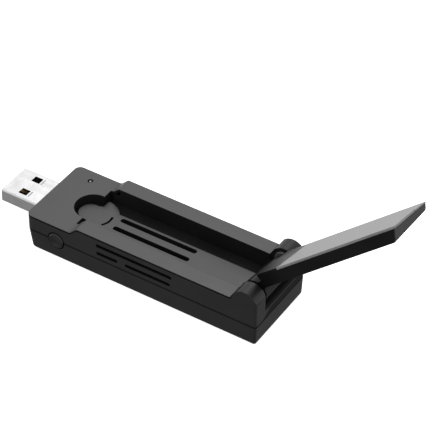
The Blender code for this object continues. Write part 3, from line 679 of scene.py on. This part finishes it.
def make_light_pipe():
    """A thin column that ends just under the roof, on a wider flange above the board's light."""
    flange = PIPE_LOW.z + 1.0
    profile = [(0.0, PIPE_HIGH.z - 0.05), (PIPE_RADIUS - 0.12, PIPE_HIGH.z - 0.08),
               (PIPE_RADIUS, PIPE_HIGH.z - 0.2), (PIPE_RADIUS, flange + 0.1),
               (PIPE_RADIUS + 0.1, flange), (1.0, flange), (1.1, flange - 0.1),
               (1.1, PIPE_LOW.z + 0.1), (1.0, PIPE_LOW.z), (0.0, PIPE_LOW.z)]
    complete(turned(profile, (*PIPE_PLACE, 0.0), "Z", 32), "light_pipe", "case",
             [PIPE_CLEAR], ["led_light_pipe"])


def make_button():
    """A round cap with a dished face, a stop flange behind it and a stem to the switch."""
    rim_width = 0.45
    rim = [(BUTTON_RADIUS - rim_width + rim_width * math.sin(t), -0.15 + rim_width * math.cos(t))
           for t in (math.radians(degrees) for degrees in range(0, 91, 15))]
    dish = [(0.0, 0.12), (0.7, 0.14), (1.4, 0.21), (1.9, 0.28)]
    flange = [(BUTTON_RADIUS, -1.6), (BUTTON_RADIUS + 0.1, -1.7), (3.2, -1.7), (3.3, -1.8),
              (3.3, -2.2), (3.2, -2.3)]
    stem = [(1.1, -2.3), (1.0, -2.4), (1.0, -2.8), (0.9, -2.9), (0.0, -2.9)]
    profile = dish + rim + flange + stem
    cap = turned(profile, (BUTTON_X, -CASE_HALF_WIDTH, BUTTON_Z), "-Y", 64)
    complete(cap, "pairing_cap", "button", [BUTTON_BLACK],
             ["pairing_button"])


# Plug

def make_plug():
    """A folded steel shell with latch holes, a pressed line beside each and a keyed seam below."""
    low, high, sheet = PLUG_LOW, PLUG_HIGH, PLUG_SHEET
    shell = slab(rectangle(low.y, high.y, low.z, high.z, 0.5, 6), low.x, high.x, "X")
    inside = rectangle(low.y + sheet, high.y - sheet, low.z + sheet, high.z - sheet, 0.22, 6)
    cut(shell, slab(inside, low.x - 2, high.x + 2, "X"))
    for y in (LATCH_HOLE_Y, -LATCH_HOLE_Y):
        sides = (y - LATCH_HOLE_HALF_WIDTH, y + LATCH_HOLE_HALF_WIDTH)
        cut(shell, slab(rectangle(*LATCH_HOLE_X, *sides, 0.12, 3), 0.0, 14.0))
        tick = rectangle(*TICK_X, *sides, 0.15, 3)
        cut(shell, slab(tick, high.z - PRESS_DEPTH, 14.0), slab(tick, 0.0, low.z + PRESS_DEPTH))
    seam = [(low.x - 1, -0.06), (-11.0, -0.06), (-10.6, -0.7), (-9.2, -0.7), (-8.8, -0.06),
            (high.x + 1, -0.06), (high.x + 1, 0.06), (-8.9, 0.06), (-9.3, -0.58),
            (-10.5, -0.58), (-10.9, 0.06), (low.x - 1, 0.06)]
    cut(shell, slab(seam, 0.0, low.z + PRESS_DEPTH))
    ease(shell, 0.05, 2, lambda middle: abs(middle.x - low.x) < 0.02)

    def pick(face):
        """Painted shade: the floors and sides of the pressed lines get a darker metal, duller than
        the plating.
        """
        x, _, z = face.center
        depth = min(high.z - z, z - low.z)
        return int(-6.0 < x < -5.5 and 0.02 < depth < 0.13)

    complete(shell, "plug_shell", "case", [PLUG_NICKEL, PRESSED_LINE_SHADE],
             ["usb_plug_shell"], pick=pick)


def make_tongue():
    low, high = TONGUE_LOW, TONGUE_HIGH
    outline = rounded([(low.x, low.z, 0.2), (high.x, low.z, 0.1), (high.x, high.z, 0.1),
                       (low.x, high.z, 0.5)])
    tongue = slab(outline, low.y, high.y, "Y")
    for y in CONTACT_PLACES:
        groove = rectangle(*CONTACT_GROOVE_X, y - 0.8, y + 0.8, 0.3)
        cut(tongue, slab(groove, high.z - 0.8, high.z + 1.0))
    ease(tongue, 0.08, 2)
    complete(tongue, "plug_tongue", "case", [TONGUE_SHADE_BLACK], ["usb_tongue"])


CONTACT_PLACES = [(low.y + high.y) / 2
                  for low, high in (corners(f"plug_contact_{n}") for n in range(1, 5))]


# Antenna

def seam_lines():
    """Depths of the shell's open face and the panel's upper face, and the tip's slope."""
    panel_top = -(ANTENNA_THICKNESS - PANEL_THICKNESS)
    return panel_top + PANEL_GAP, panel_top, TIP_SLANT / ANTENNA_THICKNESS


def toward_back(y):
    """How far across the blade a point is, from 0 at its front edge to 1 at its back edge."""
    return (y + ANTENNA_HALF_WIDTH) / (2 * ANTENNA_HALF_WIDTH)


def slope_blade(blade):
    """Tilts the blade's inner face and its tip facet, so that it is thinner at the back."""
    lost = 1 - ANTENNA_BACK_THICKNESS / ANTENNA_THICKNESS
    for vertex in blade.data.vertices:
        share = toward_back(vertex.co.y)
        on_tip = vertex.co.x < -ANTENNA_LENGTH / 2
        if vertex.co.z < -(NECK_DEPTH + 0.1):
            raised = -vertex.co.z * lost * share
            vertex.co.z += raised
            if on_tip:
                vertex.co.x += raised * TIP_SLANT / ANTENNA_THICKNESS
        if on_tip:
            vertex.co.x -= TIP_SLANT * lost * share
    return blade


def make_antenna_shell():
    seam, _, slope = seam_lines()
    tip = -(ANTENNA_LENGTH - TIP_SLANT)
    block_end = -(PANEL_START - PANEL_GAP)
    neck_meets = math.degrees(math.asin(NECK_DEPTH / BARREL_RADIUS))
    barrel = [(*point, 0.0) for point in arc((0.0, 0.0), BARREL_RADIUS, 172, neck_meets - 180, 60)]
    profile = rounded([(tip, 0.0, 1.8), (-BARREL_RADIUS - 0.6, 0.0, 0.6)] + barrel
                      + [(-ROOT_START, -NECK_DEPTH, 0.0), (-ROOT_START, -ANTENNA_THICKNESS, 0.25),
                         (block_end, -ANTENNA_THICKNESS, 0.0), (block_end, seam, 0.0),
                         (tip + slope * seam, seam, 0.0)])
    shell = slope_blade(slab(profile, -ANTENNA_HALF_WIDTH, ANTENNA_HALF_WIDTH, "Y"))
    cut(shell, box(HOLLOW_LOW, HOLLOW_HIGH), rod((0.0, 0.0, 0.0), PIVOT_RADIUS, 20.0, "Y"),
        box(LEAD_CHANNEL_LOW, LEAD_CHANNEL_HIGH))

    def shows(middle):
        """The blade's outer long edges, clear of the barrel and of the panel's joint line."""
        on_side = abs(middle.y) > ANTENNA_HALF_WIDTH - 0.02
        on_seam = middle.x < block_end + 0.1 and middle.z < -0.3 and middle.x > tip
        return on_side and middle.x < -ROOT_START - 1.0 and not on_seam

    def pick(face):
        """Painted shade: the block and neck beside the panel get a darker copy of the plastic,
        duller than the polished back.
        """
        x, _, z = face.center
        return int(x > block_end - 0.2 and (z < -0.6 or x > -BARREL_RADIUS - 0.3))

    ease(shell, 0.25, 3, shows)
    complete(shell, "antenna_case", "antenna", [ANTENNA_BLACK, ROOT_PAINTED_SHADE],
             ["antenna_shell"], ANTENNA_PLACE, pick)


def make_antenna_panel():
    _, panel_top, slope = seam_lines()
    tip = -(ANTENNA_LENGTH - TIP_SLANT)
    profile = [(-PANEL_START, panel_top), (tip + slope * panel_top, panel_top),
               (-ANTENNA_LENGTH, -ANTENNA_THICKNESS), (-PANEL_START, -ANTENNA_THICKNESS)]
    panel = slope_blade(slab(profile, -ANTENNA_HALF_WIDTH, ANTENNA_HALF_WIDTH, "Y"))
    cut(panel, box((-70.0, THUMB_NOTCH_Y[0], -9.0),
                   (THUMB_NOTCH - ANTENNA_LENGTH, THUMB_NOTCH_Y[1], 0.0)))

    def shows(middle):
        """The edges of the panel's inner face."""
        lost = (ANTENNA_BACK_THICKNESS - ANTENNA_THICKNESS) * toward_back(middle.y)
        thickness = ANTENNA_THICKNESS + lost
        return abs(middle.z + thickness) < 0.03

    ease(panel, 0.14, 2, shows)
    complete(panel, "antenna_panel", "antenna", [PANEL_GREY_AND_REFLECTION],
             ["antenna_cover"], ANTENNA_PLACE)


# Repeated metalwork and small parts, made with node trees

def tree_socket(tree, name, kind, value=None):
    socket = tree.interface.new_socket(name, in_out="INPUT", socket_type="NodeSocket" + kind)
    if value is not None:
        socket.default_value = value
    return socket


def strip_tree():
    """Bends a flat strip along the path it is given, and repeats it along a row and in rows."""
    tree = bpy.data.node_groups.new("bent_strips", "GeometryNodeTree")
    tree_socket(tree, "Path", "Geometry")
    for name, kind, value in (("Width", "Float", 1.0), ("Thickness", "Float", 0.3),
                              ("Bend Radius", "Float", 0.3), ("Count", "Int", 4),
                              ("Spacing", "Vector", (0.0, 1.0, 0.0)), ("Rows", "Int", 2),
                              ("Row Spacing", "Vector", (0.0, 0.0, 0.0)),
                              ("Finish", "Material", None)):
        tree_socket(tree, name, kind, value)
    tree.interface.new_socket("Strips", in_out="OUTPUT", socket_type="NodeSocketGeometry")
    nodes, link = tree.nodes, tree.links.new
    given = nodes.new("NodeGroupInput").outputs
    path = nodes.new("GeometryNodeMeshToCurve")
    bend = nodes.new("GeometryNodeFilletCurve")
    bend.mode = "POLY"
    bend.inputs["Count"].default_value = 4
    section = nodes.new("GeometryNodeCurvePrimitiveQuadrilateral")
    soft = nodes.new("GeometryNodeFilletCurve")
    soft.mode = "POLY"
    soft.inputs["Count"].default_value = 2
    soft.inputs["Radius"].default_value = 0.06
    sweep = nodes.new("GeometryNodeCurveToMesh")
    sweep.inputs["Fill Caps"].default_value = True
    link(given["Path"], path.inputs["Mesh"])
    link(path.outputs["Curve"], bend.inputs["Curve"])
    link(given["Bend Radius"], bend.inputs["Radius"])
    link(given["Thickness"], section.inputs["Height"])
    link(given["Width"], section.inputs["Width"])
    link(section.outputs["Curve"], soft.inputs["Curve"])
    level = nodes.new("GeometryNodeSetCurveNormal")
    level.mode = "FREE"
    level.inputs["Normal"].default_value = (0.0, 1.0, 0.0)
    link(bend.outputs["Curve"], level.inputs["Curve"])
    link(level.outputs["Curve"], sweep.inputs["Curve"])
    link(soft.outputs["Curve"], sweep.inputs["Profile Curve"])
    row = nodes.new("GeometryNodeMeshLine")
    link(given["Count"], row.inputs["Count"])
    link(given["Spacing"], row.inputs["Offset"])
    along = nodes.new("GeometryNodeInstanceOnPoints")
    link(row.outputs["Mesh"], along.inputs["Points"])
    link(sweep.outputs["Mesh"], along.inputs["Instance"])
    rows = nodes.new("GeometryNodeMeshLine")
    link(given["Rows"], rows.inputs["Count"])
    link(given["Row Spacing"], rows.inputs["Offset"])
    across = nodes.new("GeometryNodeInstanceOnPoints")
    link(rows.outputs["Mesh"], across.inputs["Points"])
    link(along.outputs["Instances"], across.inputs["Instance"])
    real = nodes.new("GeometryNodeRealizeInstances")
    link(across.outputs["Instances"], real.inputs["Geometry"])
    finish = nodes.new("GeometryNodeSetMaterial")
    link(real.outputs["Geometry"], finish.inputs["Geometry"])
    link(given["Finish"], finish.inputs["Material"])
    out = nodes.new("NodeGroupOutput")
    link(finish.outputs["Geometry"], out.inputs["Strips"])
    return tree


def grow(tree, start, settings):
    """Runs a node tree on a starting mesh and returns the plain result as an object."""
    solid = bpy.data.objects.new("work", start)
    bpy.context.scene.collection.objects.link(solid)
    modifier = solid.modifiers.new("tree", "NODES")
    modifier.node_group = tree
    sockets = {item.name: item.identifier for item in tree.interface.items_tree
               if item.in_out == "INPUT"}
    for name, value in settings.items():
        modifier[sockets[name]] = value
    return settle(solid)


def path_mesh(points):
    mesh = bpy.data.meshes.new("path")
    mesh.from_pydata(points, [(n, n + 1) for n in range(len(points) - 1)], [])
    return mesh


def make_strips(name, points, slot, nodes, shift=(0.0, 0.0, 0.0), **settings):
    """A row of bent strips along a path. Settings are the tree's inputs, with _ for a space."""
    inputs = {key.replace("_", " "): value for key, value in settings.items()}
    strips = grow(STRIPS, path_mesh(points), inputs)
    strips.data.transform(Matrix.Translation(shift))
    complete(strips, name, "case", [settings["Finish"]], nodes)


def make_contacts():
    low, high = corners("plug_contact_1")
    top = high.z - 0.15
    back = high.x - 0.15
    make_strips("plug_contacts",
                [(low.x, 0, top - 0.1), (low.x + 0.6, 0, top), (back, 0, top), (back, 0, low.z)],
                "gold_contact", [f"plug_contact_{n}" for n in range(1, 5)],
                (0.0, CONTACT_PLACES[0], 0.0),
                Width=1.0, Thickness=0.3, Bend_Radius=0.3, Count=2,
                Spacing=(0.0, CONTACT_PLACES[1] - CONTACT_PLACES[0], 0.0), Rows=2,
                Row_Spacing=(0.0, CONTACT_PLACES[2] - CONTACT_PLACES[0], 0.0),
                Finish=CONTACT_GOLD_AND_SHADE)
    low, high = corners("fast_contact_1")
    run = TONGUE_HIGH.z + FIT_GAP + 0.15
    places = [(a.y + b.y) / 2 for a, b in (corners(f"fast_contact_{n}") for n in range(1, 6))]
    sprung = [(low.x, 0, run), (low.x + 0.6, 0, high.z - 0.15), (low.x + 1.3, 0, run),
              (high.x - 0.15, 0, run), (high.x - 0.15, 0, low.z)]
    for name, numbers in (("fast_contacts_outer", (1, 5)), ("fast_contacts_inner", (2, 3, 4))):
        first, second = (places[number - 1] for number in numbers[:2])
        make_strips(name, sprung, "gold_contact", [f"fast_contact_{number}" for number in numbers],
                    (0.0, first, 0.0), Width=0.5, Thickness=0.3, Bend_Radius=0.2,
                    Count=len(numbers),
                    Spacing=(0.0, second - first, 0.0), Rows=1, Finish=CONTACT_GOLD_AND_SHADE)


STRIPS = strip_tree()

make_tray()
make_housing()
make_cover()
make_label()
make_light_pipe()
make_button()
make_plug()
make_tongue()
make_contacts()
make_antenna_shell()
make_antenna_panel()

CARRIED = {
    BOARD_GREEN: ("main_board", "antenna_board"),
    SHIELD_TIN: ("radio_shield", "amplifier_shield", "pivot_sleeve_left", "pivot_sleeve_right",
                 "friction_washer_left", "friction_washer_right"),
    CHIP_BLACK: ("radio_chip", "memory_chip", "crystal", "power_inductor", "status_led",
                 "amplifier_chip_1", "amplifier_chip_2", "amplifier_chip_3", "tact_switch"),
    THERMAL_PAD: ("thermal_pad",),
    CONTACT_GOLD_AND_SHADE: ("aerial_socket_left", "aerial_socket_right"),
    LEAD_JACKET: ("aerial_lead_left", "aerial_lead_right", "antenna_lead_left",
                  "antenna_lead_right"),
    LABEL_FILM: ("switch_plunger",),
}
for finish, names in CARRIED.items():
    for name in names:
        node = frame["nodes"][name]
        node.data.materials.clear()
        node.data.materials.append(finish)


# Studio

def make_floor():
    floor = slab(rectangle(-2.0, 2.0, -2.0, 2.0), -0.012, -0.0002)
    floor.name = "floor"
    paper = Finish("floor_paper", 0.8, Emission_Color=(1.0, 1.0, 1.0, 1.0), Emission_Strength=0.75)
    paper.colours(paper.noise(3.0), (0.9, 0.9, 0.9), (0.92, 0.92, 0.92))
    floor.data.materials.append(paper.material)
    floor.visible_glossy = False
    floor.visible_diffuse = False


def make_world():
    """Even white light from above, fading to a dim grey from straight below."""
    world = bpy.data.worlds.new("studio")
    bpy.context.scene.world = world
    world.use_nodes = True
    nodes, link = world.node_tree.nodes, world.node_tree.links.new
    direction = nodes.new("ShaderNodeTexCoord")
    split = nodes.new("ShaderNodeSeparateXYZ")
    fade = nodes.new("ShaderNodeMapRange")
    fade.inputs["From Min"].default_value = -0.6
    fade.inputs["From Max"].default_value = -0.35
    fade.inputs["To Min"].default_value = 0.3
    fade.inputs["To Max"].default_value = 1.0
    link(direction.outputs["Generated"], split.inputs["Vector"])
    link(split.outputs["Z"], fade.inputs["Value"])
    link(fade.outputs["Result"], nodes["Background"].inputs["Strength"])
    nodes["Background"].inputs["Color"].default_value = (1.0, 1.0, 1.0, 1.0)


def make_softbox(name, place, target, size, power):
    light = bpy.data.lights.new(name, "AREA")
    light.shape = "DISK"
    light.size = size
    light.energy = power
    lamp = bpy.data.objects.new(name, light)
    bpy.context.scene.collection.objects.link(lamp)
    lamp.location = place
    lamp.rotation_mode = "QUATERNION"
    lamp.rotation_quaternion = (Vector(target) - Vector(place)).to_track_quat("-Z", "Y")


def make_camera():
    azimuth, elevation, roll = (math.radians(a) for a in (31.894, 40.731, 0.795))
    target = Vector((31.883, -23.641, 52.272)) * MM
    distance = 536.1 * MM
    right = Vector((math.cos(azimuth), math.sin(azimuth), 0.0))
    back = Vector((math.sin(azimuth) * math.cos(elevation),
                   -math.cos(azimuth) * math.cos(elevation), math.sin(elevation)))
    up = back.cross(right)
    across = right * math.cos(roll) + up * math.sin(roll)
    upright = up * math.cos(roll) - right * math.sin(roll)
    camera = bpy.data.objects.new("camera", bpy.data.cameras.new("camera"))
    camera.data.lens = 173.02
    camera.data.sensor_width = 36.0
    camera.data.clip_start = 0.05
    camera.data.clip_end = 10.0
    turn = Matrix((across, upright, back)).transposed().to_4x4()
    camera.matrix_world = Matrix.Translation(target + back * distance) @ turn
    bpy.context.scene.collection.objects.link(camera)
    bpy.context.scene.camera = camera


make_floor()
make_world()
make_softbox("overhead_softbox", (-0.3, 0.5, 0.9), (0.0, 0.0, 0.0), 0.5, 2.0)
make_camera()
bpy.context.scene.view_settings.view_transform = "Standard"
